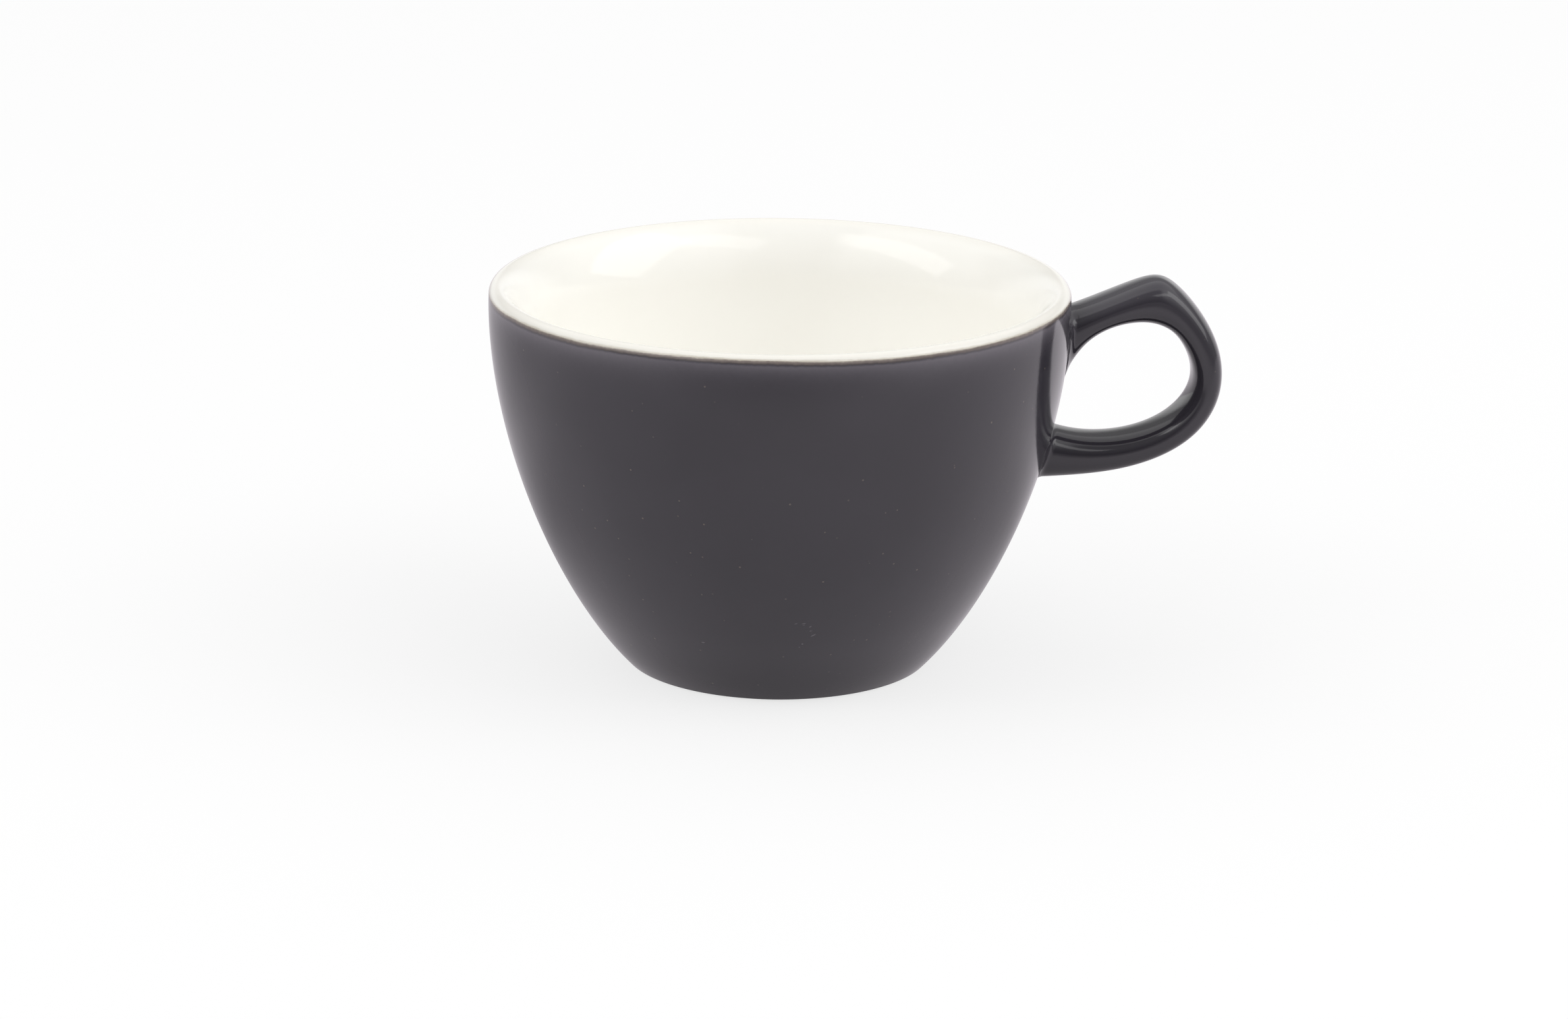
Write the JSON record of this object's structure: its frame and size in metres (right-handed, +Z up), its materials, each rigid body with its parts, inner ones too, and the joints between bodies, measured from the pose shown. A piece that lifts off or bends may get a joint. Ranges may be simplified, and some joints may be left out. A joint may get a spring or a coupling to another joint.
{
  "type": "cappuccino cup",
  "caption": "Round glazed porcelain cup for milk coffee, with a cream inside, a charcoal outside, a turned foot ring and a cast loop handle.",
  "frame": {"origin": "centre of the foot ring, on the table and on the cup's axis", "axes": "+Z up along the cup's axis, +X towards the handle"},
  "size_m": [0.1329, 0.105, 0.0713],
  "materials": {
    "porcelain": "bare fired porcelain, fine and matt",
    "cream_glaze": "glossy cream glaze",
    "charcoal_glaze": "glossy warm charcoal glaze",
    "joining_slip": "fired joining slip, matt"
  },
  "bodies": {
    "root": {"body": "porcelain", "inside_glaze": "cream_glaze", "outside_glaze": "charcoal_glaze", "underside_glaze": "cream_glaze", "handle": "porcelain", "handle_glaze": "charcoal_glaze", "upper_slip_joint": "joining_slip", "lower_slip_joint": "joining_slip"}
  },
  "joints": []
}
